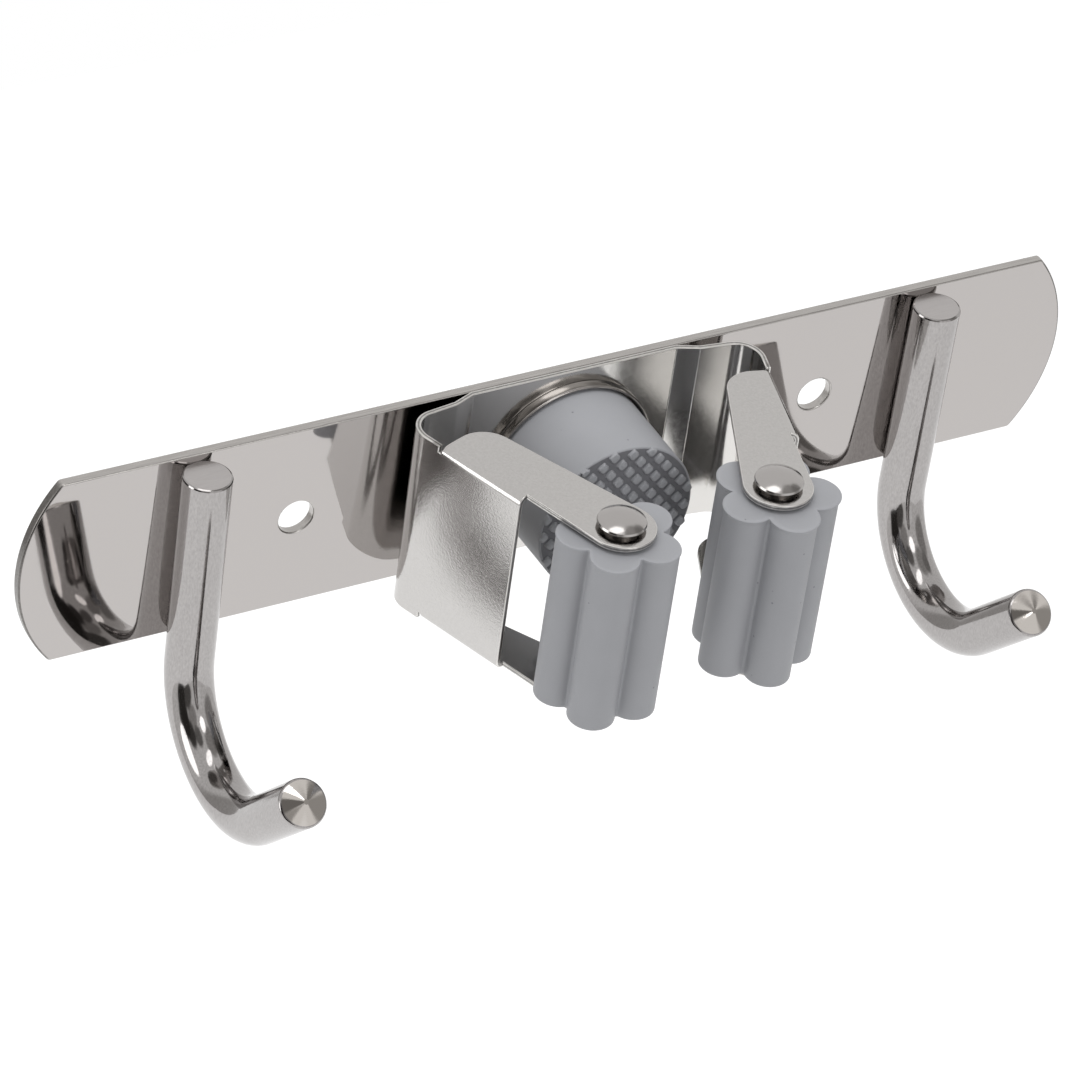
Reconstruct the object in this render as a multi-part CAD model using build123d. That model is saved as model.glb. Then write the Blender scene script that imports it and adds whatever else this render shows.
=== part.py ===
from build123d import *
from math import asin, cos, degrees, hypot, radians, sin
import os

# Wall holder for mops and brooms: a polished back plate with two welded hooks, and between them a spring
# clip of bent sheet whose two arms carry lobed rubber rollers in front of a studded rubber stop.
# Millimetres. The origin is the middle of the plate's wall face: +X runs along the plate to the viewer's
# right, -Y points out of the wall and +Z is up.

# Back plate
PLATE_LENGTH = 220.0  # from the tip of one bowed end to the other
PLATE_HEIGHT = 40.0
PLATE_THICKNESS = 2.0
END_RISE = 7.2  # how far each bowed end stands out past its corners
PLATE_CORNER_RADIUS = 1.0
PLATE_EDGE = 0.3  # rounding of the polished front edge
SCREW_HOLE_DIAMETER = 7.0
SCREW_HOLE_SPACING = 110.0

# Hooks of round bar
ROD_DIAMETER = 9.2
HOOK_INSET = 33.5  # from the tip of the plate's end to the middle of the bar
HOOK_TOP = 18.4  # top end above the middle of the plate
HOOK_SHANK = 41.6  # straight length from the top end to the bend
HOOK_BEND_RADIUS = 18.7  # to the middle of the bar
HOOK_RISE = 48.0  # degrees by which the tip climbs
HOOK_TIP_LENGTH = 19.8  # straight length from the bend to the tip
HOOK_EDGE = 0.4  # bevel round the sawn top end
HOOK_POINT = 1.5  # height of the blunt point turned on the tip
POINT_FLAT = 1.0  # diameter of the flat left in the middle of the point
POINT_EDGE = 0.7  # rounding round the foot of the point
WELD_FLAT = 0.3  # depth of the flat that is welded to the plate

# Spring clip: flat base, jog, wing, bend, then an arm with an ear folded in at its top and bottom
SHEET = 1.0
CLIP_SHORT = 0.4  # the clip is level with the plate's top edge and stops this far above its bottom edge
CLIP_FLAT = 43.0  # width of the base that lies on the plate
JOG_RUN = 4.3
JOG_STEP = 1.7  # how far the wings stand off the plate
JOG_RADIUS = 1.2  # inside each bend of the jog
WING_ROOT = 1.0  # length of wing on the base's side of the flexing line
WING_LENGTH = 4.3  # length of wing from the flexing line to the bend
BEND_RADIUS = 4.2  # inside the bend between wing and arm
LEFT_LEAN = 19.5  # degrees by which each arm leans in
RIGHT_LEAN = 14.5  # degrees
RELIEF_START = 4.2  # from the end of the bend, along the arm
RELIEF_WIDTH = 0.6
RELIEF_DEPTH = 2.4
FOLD_RADIUS = 0.8  # inside the folds between arm and ears
WEB_LENGTH = 24.0  # from the end of the bend to the arm's open window
LEFT_TOP_EAR = 11.6  # widths of the ears at their rear ends
LEFT_BOTTOM_EAR = 8.6
RIGHT_TOP_EAR = 10.2
RIGHT_BOTTOM_EAR = 10.4
EAR_REAR_RADIUS = 6.0
EAR_TIP_RADIUS = 6.5
LEFT_PIN_REACH = 40.6  # from the end of the bend to each pin, along the arm
RIGHT_PIN_REACH = 38.6
PIN_INSET = 8.4  # from the arm's outer face to the pin

# Rivet pins
PIN_DIAMETER = 4.0
PIN_FIT = 0.05  # gap round the pin in the ears
COLLAR_DIAMETER = 6.6
COLLAR_HEIGHT = 0.8
HEAD_DIAMETER = 9.1
HEAD_RIM = 0.4
HEAD_DOME = 1.5
PEEN_DIAMETER = 6.4
PEEN_HEIGHT = 1.2

# Rollers
LOBES = 5
LOBE_RADIUS = 4.4
LOBE_CIRCLE_RADIUS = 7.1  # from the axis to the middle of each lobe
GROOVE_RADIUS = 0.5  # at the bottom of the grooves
ROLLER_EDGE = 0.3
RUNNING_CLEARANCE = 0.08  # round the pin
GAP_BELOW = 0.3
GAP_ABOVE = 0.7
LEFT_TURN = 18.0  # degrees from +X to the first lobe
RIGHT_TURN = 50.0  # degrees

# Rubber stop in its cup
STOP_HEIGHT = 0.4  # axis above the middle of the plate
CUP_DIAMETER = 34.2
CUP_HEIGHT = 2.2
CUP_WALL = 0.6
CUP_EDGE = 0.2  # bevel on both sides of the rim
PLUG_GAP = 0.5  # between the plug's foot and the cup's wall
PLUG_REACH = 20.4  # from the clip's face to the tops of the studs
PLUG_FACE_DIAMETER = 31.8
PLUG_EDGE = 1.0  # rounding round the face
STUD_PITCH = 2.79
STUD_SIDE = 1.7
STUD_HEIGHT = 0.9
STUD_TURN = 41.0  # degrees from +X to the rows of studs

clip_top = PLATE_HEIGHT / 2
clip_bottom = CLIP_SHORT - PLATE_HEIGHT / 2
clip_middle = (clip_top + clip_bottom) / 2
clip_height = clip_top - clip_bottom
clip_face = PLATE_THICKNESS + SHEET  # depth of the base's front from the wall
wing_back = PLATE_THICKNESS + JOG_STEP  # depth of the wings' wall side
jog_x = CLIP_FLAT / 2 + JOG_RUN
flex_x = jog_x + WING_ROOT
bend_x = flex_x + WING_LENGTH
bend_outer = BEND_RADIUS + SHEET
bend_depth = wing_back + bend_outer
fold_outer = FOLD_RADIUS + SHEET
cup_floor = clip_face + CUP_WALL


def upright(sketch, bottom, top):
    """Raise a plan outline from one height to another."""
    return Pos(0, 0, bottom) * extrude(sketch, top - bottom)


def back_plate():
    half_length = PLATE_LENGTH / 2
    corner_x = half_length - END_RISE
    corner_z = PLATE_HEIGHT / 2
    outline = [
        Line((-corner_x, corner_z), (corner_x, corner_z)),
        ThreePointArc((corner_x, corner_z), (half_length, 0), (corner_x, -corner_z)),
        Line((corner_x, -corner_z), (-corner_x, -corner_z)),
        ThreePointArc((-corner_x, -corner_z), (-half_length, 0), (-corner_x, corner_z)),
    ]
    face = make_face(outline)
    face = fillet(face.vertices(), PLATE_CORNER_RADIUS)
    plate = extrude(Plane.XZ * face, PLATE_THICKNESS)
    front_edges = plate.faces().sort_by(Axis.Y)[0].edges()
    plate = fillet(front_edges, PLATE_EDGE)
    for x in (-SCREW_HOLE_SPACING / 2, SCREW_HOLE_SPACING / 2):
        hole = Plane.XZ * (Pos(x, 0) * Circle(SCREW_HOLE_DIAMETER / 2))
        plate -= extrude(hole, PLATE_THICKNESS)
    return plate


def hook(x):
    radius = ROD_DIAMETER / 2
    depth = PLATE_THICKNESS + radius - WELD_FLAT
    bend_z = HOOK_TOP - HOOK_SHANK
    side_view = Plane(origin=(x, 0, 0), x_dir=(0, -1, 0), z_dir=(-1, 0, 0))
    shank = Line((depth, HOOK_TOP), (depth, bend_z))
    bend = CenterArc((depth + HOOK_BEND_RADIUS, bend_z), HOOK_BEND_RADIUS, 180, 90 + HOOK_RISE)
    climb = Vector(cos(radians(HOOK_RISE)), sin(radians(HOOK_RISE)))
    tip = Line(bend @ 1, bend @ 1 + climb * HOOK_TIP_LENGTH)
    path = side_view * Wire([shank, bend, tip])
    section = Plane(origin=path @ 0, z_dir=path % 0) * Circle(radius)
    rod = sweep(section, path)
    top_edges = rod.faces().sort_by(Axis.Z)[-1].edges()
    rod = chamfer(top_edges, HOOK_EDGE)
    blunt_point = Cone(radius, POINT_FLAT / 2, HOOK_POINT, align=(Align.CENTER, Align.CENTER, Align.MIN))
    rod += Plane(origin=path @ 1, z_dir=path % 1) * blunt_point
    rings = rod.edges().filter_by(GeomType.CIRCLE)
    point_foot = rings.filter_by(lambda ring: (ring.arc_center - path @ 1).length < POINT_EDGE / 2)
    rod = fillet(point_foot, POINT_EDGE)
    plate_room = Box(
        2 * ROD_DIAMETER, PLATE_THICKNESS, 4 * PLATE_HEIGHT, align=(Align.CENTER, Align.MAX, Align.CENTER)
    )
    return rod - Pos(x, 0, 0) * plate_room


def clip_base():
    ramp = Vector(JOG_RUN, -JOG_STEP).normalized()
    mitre = SHEET * (1 - ramp.X) / -ramp.Y  # how far a corner shifts through the sheet's thickness
    wall_y = (-wing_back, -wing_back, -PLATE_THICKNESS)
    wall_x = (flex_x, jog_x, CLIP_FLAT / 2)
    front_x = (flex_x, jog_x - mitre, CLIP_FLAT / 2 - mitre)
    wall_half = [Vector(x, y) for x, y in zip(wall_x, wall_y)]
    front_half = [Vector(x, y - SHEET) for x, y in zip(front_x, wall_y)]
    tight, wide = JOG_RADIUS, JOG_RADIUS + SHEET

    def across(half):
        return half + [Vector(-p.X, p.Y) for p in reversed(half)]

    wall = FilletPolyline(across(wall_half), radius=[tight, wide, wide, tight])
    front = FilletPolyline(across(front_half), radius=[wide, tight, tight, wide])
    ends = [Line(wall @ 0, front @ 0), Line(wall @ 1, front @ 1)]
    return upright(make_face([*wall.edges(), *front.edges(), *ends]), clip_bottom, clip_top)


def arm_frame(lean):
    """Frame of a right-hand arm: X along it from the end of its bend, Y square to its outer face."""
    outward = Vector(cos(radians(lean)), -sin(radians(lean)))
    along = Vector(-sin(radians(lean)), -cos(radians(lean)))
    start = Vector(bend_x, -bend_depth) + outward * bend_outer
    return Plane(origin=start, x_dir=along, z_dir=(0, 0, 1))


def wing_and_bend(lean):
    """Plan of the sheet from the flexing line, round the bend, to the relief cut."""
    frame = arm_frame(lean)
    centre = (bend_x, -bend_depth)
    turn = -(90 + lean)
    sides = []
    for radius, inset in ((bend_outer, 0), (BEND_RADIUS, SHEET)):
        wing_y = -(wing_back + inset)
        wing = Line((flex_x, wing_y), (bend_x, wing_y))
        bend = CenterArc(centre, radius, 90, turn)
        end = frame.from_local_coords(Vector(RELIEF_START, -inset))
        sides.append((wing, bend, Line(bend @ 1, end)))
    outer, inner = sides
    caps = [Line(outer[0] @ 0, inner[0] @ 0), Line(outer[2] @ 1, inner[2] @ 1)]
    return make_face([*outer, *inner, *caps])


def arm(lean, pin_reach, top_ear, bottom_ear):
    """A right-hand arm. The left one is the mirror image of one with its own sizes."""
    ear_start = RELIEF_START + RELIEF_WIDTH
    ear_end = pin_reach + EAR_TIP_RADIUS
    ear_side = PIN_INSET - EAR_TIP_RADIUS  # the ear's outer edge in front of the window
    channel_width = 2 * (PIN_INSET + EAR_TIP_RADIUS)
    inner_height = clip_height - 2 * SHEET

    def ear_plan(rear_width):
        rear = Pos(ear_start + EAR_REAR_RADIUS, EAR_REAR_RADIUS - rear_width) * Circle(EAR_REAR_RADIUS)
        tip = Pos(pin_reach, -PIN_INSET) * Circle(EAR_TIP_RADIUS)
        web_edge = Line((ear_start, 0), (WEB_LENGTH, 0))
        plan = make_hull([*rear.edges(), *tip.edges(), web_edge])
        plan -= Pos(WEB_LENGTH, 0) * Rectangle(ear_end, 2 * ear_side, align=(Align.MIN, Align.CENTER))
        return plan - Pos(pin_reach, -PIN_INSET) * Circle(PIN_DIAMETER / 2 + PIN_FIT)

    outside = Pos(-channel_width / 2, clip_middle) * Rectangle(channel_width, clip_height)
    outside = fillet(outside.vertices(), fold_outer)
    inside = Pos(-channel_width / 2 - SHEET, clip_middle) * Rectangle(channel_width, inner_height)
    inside = fillet(inside.vertices(), FOLD_RADIUS)
    channel = extrude(Plane.YZ * (outside - inside), ear_end)
    upper = channel & upright(ear_plan(top_ear), clip_middle, clip_top)
    lower = channel & upright(ear_plan(bottom_ear), clip_bottom, clip_middle)

    web = Pos(RELIEF_START, 0) * Rectangle(WEB_LENGTH - RELIEF_START, SHEET, align=(Align.MIN, Align.MAX))
    neck = upright(web, clip_bottom + RELIEF_DEPTH, clip_top - RELIEF_DEPTH)
    return upright(wing_and_bend(lean), clip_bottom, clip_top) + arm_frame(lean) * (upper + lower + neck)


def pin_axis(lean, pin_reach):
    """Foot of a right-hand pin's axis in plan."""
    return arm_frame(lean).from_local_coords(Vector(pin_reach, -PIN_INSET))


def pin():
    """Rivet pin on the Z axis: domed head on a collar over the top ear, peened under the bottom one."""
    shank = PIN_DIAMETER / 2
    collar = COLLAR_DIAMETER / 2
    head = HEAD_DIAMETER / 2
    peen = PEEN_DIAMETER / 2
    head_z = clip_top + COLLAR_HEIGHT
    rim_z = head_z + HEAD_RIM
    dome_z = rim_z + HEAD_DOME
    dome_radius = (head**2 + HEAD_DOME**2) / (2 * HEAD_DOME)
    dome_angle = degrees(asin(head / dome_radius))
    side = Polyline(
        (0, clip_bottom - PEEN_HEIGHT),
        (shank, clip_bottom - PEEN_HEIGHT),
        (peen, clip_bottom - PEEN_HEIGHT / 2),
        (peen, clip_bottom),
        (shank, clip_bottom),
        (shank, clip_top),
        (collar, clip_top),
        (collar, head_z),
        (head, head_z),
        (head, rim_z),
    )
    dome = CenterArc((0, dome_z - dome_radius), dome_radius, 90 - dome_angle, dome_angle)
    axis = Line(dome @ 1, (0, clip_bottom - PEEN_HEIGHT))
    return revolve(Plane.XZ * make_face([*side.edges(), dome, axis]), Axis.Z)


def roller(turn):
    """Lobed roller on the Z axis, its first lobe turned from +X."""
    spots = PolarLocations(LOBE_CIRCLE_RADIUS, LOBES, start_angle=turn)
    section = Circle(LOBE_CIRCLE_RADIUS) + [spot * Circle(LOBE_RADIUS) for spot in spots]
    section = fillet(section.vertices(), GROOVE_RADIUS)
    body = upright(section, clip_bottom + SHEET + GAP_BELOW, clip_top - SHEET - GAP_ABOVE)
    end_edges = body.edges().filter_by(Axis.Z, reverse=True)
    body = chamfer(end_edges, ROLLER_EDGE)
    return body - upright(Circle(PIN_DIAMETER / 2 + RUNNING_CLEARANCE), clip_bottom, clip_top)


def facing(depth):
    """Plane square to the stop's axis at a depth from the wall, looking out of the wall."""
    return Plane(origin=(0, -depth, STOP_HEIGHT), x_dir=(1, 0, 0), z_dir=(0, -1, 0))


def stop_cup():
    radius = CUP_DIAMETER / 2
    cup = extrude(facing(clip_face) * Circle(radius), CUP_HEIGHT)
    cup -= extrude(facing(cup_floor) * Circle(radius - CUP_WALL), CUP_HEIGHT)
    rim_edges = cup.edges().group_by(Axis.Y)[0]
    return chamfer(rim_edges, CUP_EDGE)


def stop_plug():
    foot_radius = CUP_DIAMETER / 2 - CUP_WALL - PLUG_GAP
    face_radius = PLUG_FACE_DIAMETER / 2
    face_depth = clip_face + PLUG_REACH - STUD_HEIGHT
    body = loft([facing(cup_floor) * Circle(foot_radius), facing(face_depth) * Circle(face_radius)])
    body = fillet(body.edges().group_by(Axis.Y)[0], PLUG_EDGE)
    rows = int(face_radius / STUD_PITCH) + 1
    spots = [(i + 0.5) * STUD_PITCH for i in range(-rows, rows)]
    centres = [(x, z) for x in spots for z in spots if hypot(x, z) < face_radius - STUD_SIDE / 4]
    squares = Sketch() + [Pos(x, z) * Rectangle(STUD_SIDE, STUD_SIDE) for x, z in centres]
    studs = (Rot(0, 0, STUD_TURN) * squares) & Circle(face_radius)
    return body + extrude(facing(face_depth - PLUG_EDGE) * studs, PLUG_EDGE + STUD_HEIGHT)


left_axis = pin_axis(LEFT_LEAN, LEFT_PIN_REACH)
right_axis = pin_axis(RIGHT_LEAN, RIGHT_PIN_REACH)
left_place = Pos(-left_axis.X, left_axis.Y)
right_place = Pos(right_axis.X, right_axis.Y)

parts = {
    "back_plate": back_plate(),
    "left_hook": hook(HOOK_INSET - PLATE_LENGTH / 2),
    "right_hook": hook(PLATE_LENGTH / 2 - HOOK_INSET),
    "clip_base": clip_base(),
    "left_arm": mirror(arm(LEFT_LEAN, LEFT_PIN_REACH, LEFT_TOP_EAR, LEFT_BOTTOM_EAR), about=Plane.YZ),
    "right_arm": arm(RIGHT_LEAN, RIGHT_PIN_REACH, RIGHT_TOP_EAR, RIGHT_BOTTOM_EAR),
    "left_pin": left_place * pin(),
    "right_pin": right_place * pin(),
    "left_roller": left_place * roller(LEFT_TURN),
    "right_roller": right_place * roller(RIGHT_TURN),
    "stop_cup": stop_cup(),
    "stop_plug": stop_plug(),
}

os.makedirs("parts", exist_ok=True)
for name, part in parts.items():
    export_step(part, f"parts/{name}.step")
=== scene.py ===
from math import acos, asin, atan, ceil, copysign, cos, degrees, hypot, pi, radians, sin, tan

import bmesh
import bpy
from mathutils import Matrix, Quaternion, Vector


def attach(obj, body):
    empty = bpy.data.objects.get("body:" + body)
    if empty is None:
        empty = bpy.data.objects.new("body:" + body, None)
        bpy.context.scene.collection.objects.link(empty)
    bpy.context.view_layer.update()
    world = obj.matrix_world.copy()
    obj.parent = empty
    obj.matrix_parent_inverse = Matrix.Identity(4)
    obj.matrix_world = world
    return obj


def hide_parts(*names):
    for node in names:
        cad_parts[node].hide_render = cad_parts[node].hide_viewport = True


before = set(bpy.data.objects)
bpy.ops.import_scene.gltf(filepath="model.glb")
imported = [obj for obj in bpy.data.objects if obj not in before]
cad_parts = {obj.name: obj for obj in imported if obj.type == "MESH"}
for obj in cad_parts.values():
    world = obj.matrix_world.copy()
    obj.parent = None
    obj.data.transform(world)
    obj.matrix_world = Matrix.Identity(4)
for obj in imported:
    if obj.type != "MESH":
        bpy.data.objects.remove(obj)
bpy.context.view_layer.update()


# Studio: a sheet of white paper in a pale room that is dark round the camera, with softboxes overhead,
# in front and at the left, and soft fills that the metal doesn't show. The camera looks down from the
# left through a long lens. Metres.

MM = 0.001
FLOOR_HEIGHT, FLOOR_SIDE = -250 * MM, 0.95
PAPER_GLOW = 0.3  # what the paper adds where the camera or metal sees it
CAMERA_AIM = Vector((-13.83, -20.0, -3.04)) * MM
CAMERA_DISTANCE = 1031.1 * MM
CAMERA_TURN, CAMERA_LIFT, CAMERA_ROLL = radians(-33.61), radians(37.77), radians(8.41)
LENS, SENSOR = 188.4, 36.0  # millimetres
DIM_HEIGHT, BRIGHT_HEIGHT = -0.2, 0.8  # the room's soft light grows upwards between these
ROOM_PATCHES = (  # in degrees, bearing to the right of straight out, height, inner and outer radius; tone
    (60, 14, 18, 28, "#A5A3A1"),
    (50, 58, 16, 26, "#ABA9A7"),
    (6, -4, 12, 18, "#FFFFFF"),
    (-30, 22, 13, 20, "#AAA8A6"),
    (78, 42, 10, 18, "#8C8A88"),
    (-35, 50, 11, 18, "#7A7876"),
    (-35, -8, 14, 20, "#62605E"),
    (-62, 30, 12, 20, "#4A4846"),
    (-66, 6, 16, 24, "#363432"),
    (-60, -14, 12, 18, "#383634"),
    (-152, -8, 18, 30, "#BAB8B6"),
)
SOFTBOXES = (  # name, place, width, height, degrees about its axis, watts, and whether metal shows it
    ("top_softbox", (-0.20, -0.03, 0.98), 0.66, 0.30, 48, 0.95, True),
    ("top_fill", (-0.20, -0.03, 0.98), 0.68, 0.68, 0, 1.65, False),
    ("front_softbox", (0.10, -0.78, 0.62), 0.40, 0.42, 0, 0.85, True),
    ("front_fill", (0.10, -0.90, 0.42), 0.40, 0.75, 0, 0.65, False),
    ("side_softbox", (-0.985, 0.12, 0.08), 0.60, 0.46, 0, 1.55, True),
)

scene = bpy.context.scene
scene.view_settings.view_transform = "Standard"


def linear(code):
    """Linear colour of an sRGB hex code."""
    shares = [int(code[i:i + 2], 16) / 255 for i in (1, 3, 5)]
    return (*(c / 12.92 if c <= 0.04045 else ((c + 0.055) / 1.055) ** 2.4 for c in shares), 1.0)


def add(tree, kind, sockets=None, **settings):
    """Add a node, give it its settings, and fill or link its sockets."""
    node = tree.nodes.new(kind)
    for name, value in settings.items():
        setattr(node, name, value)
    for name, value in (sockets or {}).items():
        if isinstance(value, bpy.types.NodeSocket):
            tree.links.new(value, node.inputs[name])
        else:
            node.inputs[name].default_value = value
    return node


def calc(tree, operation, *values):
    """Result of an operation on numbers."""
    return add(tree, "ShaderNodeMath", dict(enumerate(values)), operation=operation).outputs[0]


def rescale(tree, value, low, high, start=0.0, stop=1.0):
    """A value that runs from start to stop while the given one runs from low to high."""
    return add(tree, "ShaderNodeMapRange", {"Value": value, "From Min": low, "From Max": high,
                                            "To Min": start, "To Max": stop}).outputs[0]


def tint(tree, share, first, second):
    """Colour between two others."""
    return add(tree, "ShaderNodeMix", {"Factor": share, "A": first, "B": second},
               data_type="RGBA").outputs["Result"]


def blank_material(name):
    """A new material with an empty node tree."""
    material = bpy.data.materials.new(name)
    material.use_nodes = True
    material.node_tree.nodes.clear()
    return material, material.node_tree


floor_mesh = bpy.data.meshes.new("floor")
edge = FLOOR_SIDE / 2
floor_mesh.from_pydata([(-edge, -edge, 0), (edge, -edge, 0), (edge, edge, 0), (-edge, edge, 0)], [],
                       [(0, 1, 2, 3)])
floor = bpy.data.objects.new("floor", floor_mesh)
floor.location.z = FLOOR_HEIGHT
scene.collection.objects.link(floor)
# White paper: matt, and lifted to a plain white for the camera and for metal, but not for soft light.
floor_paper, tree = blank_material("white_paper_floor")
paper = add(tree, "ShaderNodeBsdfDiffuse", {"Color": linear("#F2F2F2")})
white = add(tree, "ShaderNodeEmission", {"Color": linear("#FFFFFF"), "Strength": PAPER_GLOW})
lifted = add(tree, "ShaderNodeAddShader", {0: paper.outputs[0], 1: white.outputs[0]})
path = add(tree, "ShaderNodeLightPath").outputs
seen = calc(tree, "MAXIMUM", path["Is Glossy Ray"], path["Is Transmission Ray"])
seen = calc(tree, "MAXIMUM", seen, path["Is Camera Ray"])
mixed = add(tree, "ShaderNodeMixShader", {0: seen, 1: paper.outputs[0], 2: lifted.outputs[0]})
add(tree, "ShaderNodeOutputMaterial", {"Surface": mixed.outputs[0]})
floor_mesh.materials.append(floor_paper)

# The room: metal shows its patches, soft light sees an even grey, and the camera sees white.
world = bpy.data.worlds.new("studio")
world.use_nodes = True
tree = world.node_tree
tree.nodes.clear()
aim = add(tree, "ShaderNodeTexCoord").outputs["Generated"]
tone = linear("#F0EFEE")
for bearing, height, inner, outer, shade in ROOM_PATCHES:
    turn, lift = radians(bearing), radians(height)
    facing = add(tree, "ShaderNodeVectorMath", {
        0: aim, 1: (sin(turn) * cos(lift), -cos(turn) * cos(lift), sin(lift))}, operation="DOT_PRODUCT")
    patch = add(tree, "ShaderNodeMapRange", {
        "Value": facing.outputs["Value"], "From Min": cos(radians(outer)), "From Max": cos(radians(inner))},
        interpolation_type="SMOOTHSTEP")
    tone = tint(tree, patch.outputs[0], tone, linear(shade))
upward = add(tree, "ShaderNodeSeparateXYZ", {0: aim}).outputs["Z"]
even = tint(tree, rescale(tree, upward, DIM_HEIGHT, BRIGHT_HEIGHT), linear("#A4A4A4"), linear("#E6E6E6"))
path = add(tree, "ShaderNodeLightPath").outputs
tone = tint(tree, path["Is Diffuse Ray"], tone, even)
tone = tint(tree, path["Is Camera Ray"], tone, linear("#FFFFFF"))
sky = add(tree, "ShaderNodeBackground", {"Color": tone, "Strength": 1.0})
add(tree, "ShaderNodeOutputWorld", {"Surface": sky.outputs[0]})
scene.world = world

for name, place, width, height, turn, watts, shows in SOFTBOXES:
    lamp = bpy.data.lights.new(name, "AREA")
    lamp.shape = "ELLIPSE"
    lamp.size = width
    lamp.size_y = height
    lamp.energy = watts
    box = bpy.data.objects.new(name, lamp)
    box.location = place
    box.rotation_mode = "QUATERNION"
    box.rotation_quaternion = ((-Vector(place)).to_track_quat("-Z", "Y")
                               @ Quaternion((0, 0, 1), radians(turn)))
    box.visible_glossy = shows
    scene.collection.objects.link(box)

back = Vector((sin(CAMERA_TURN) * cos(CAMERA_LIFT), -cos(CAMERA_TURN) * cos(CAMERA_LIFT), sin(CAMERA_LIFT)))
level = Vector((cos(CAMERA_TURN), sin(CAMERA_TURN), 0))
upright = back.cross(level)
across = cos(CAMERA_ROLL) * level + sin(CAMERA_ROLL) * upright
upward = cos(CAMERA_ROLL) * upright - sin(CAMERA_ROLL) * level
camera = bpy.data.objects.new("camera", bpy.data.cameras.new("camera"))
camera.data.lens = LENS
camera.data.sensor_width = SENSOR
camera.matrix_world = Matrix.Translation(CAMERA_AIM + CAMERA_DISTANCE * back) @ Matrix(
    (across, upward, back)).transposed().to_4x4()
scene.collection.objects.link(camera)
scene.camera = camera


# Back plate: 2 mm stainless sheet, punched out with bowed ends and two screw holes, its front polished
# to a mirror and its cut edge left ground. Everything else is fixed to it. Sizes in millimetres.

PLATE_LENGTH, PLATE_HEIGHT, PLATE_THICKNESS = 220.0, 40.0, 2.0
PLATE_END_RISE = 7.2
PLATE_CORNER = 1.0
PLATE_EDGE = 0.35
SCREW_HOLE_RADIUS, SCREW_HOLE_X = 3.5, 55.0
CROWN_RADIUS = 350.0
LIST = 0.046  # slope of the polished face to one side
TWIST = 1.1 / 1000  # change of that slope in each millimetre of height
TWIST_X = -92.0, 60.0  # where it is true, left and right of the clip
COARSE_X = 102.6, 103.4  # between these the ground edge turns coarse
RIM_STEPS = 4
TOUCH = 1e-3  # closer than this is the same place
METAL = {"Metallic": 1.0}
MOST = 0.3, 0.7  # most values of a noise lie between these


def arc(centre, radius, start, stop, step=4.0):
    """Points on an arc from one angle to another, in degrees."""
    count = max(2, ceil(abs(stop - start) / step))
    angles = [radians(start + (stop - start) * i / count) for i in range(count + 1)]
    return [(centre[0] + radius * cos(a), centre[1] + radius * sin(a)) for a in angles]


def miter(before, at, after):
    """Sideways step at a corner of an outline, to its right, that moves both its edges by one."""
    first = Vector((at[1] - before[1], before[0] - at[0])).normalized()
    second = Vector((after[1] - at[1], at[0] - after[0])).normalized()
    return (first + second) / (1 + first.dot(second))


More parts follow.
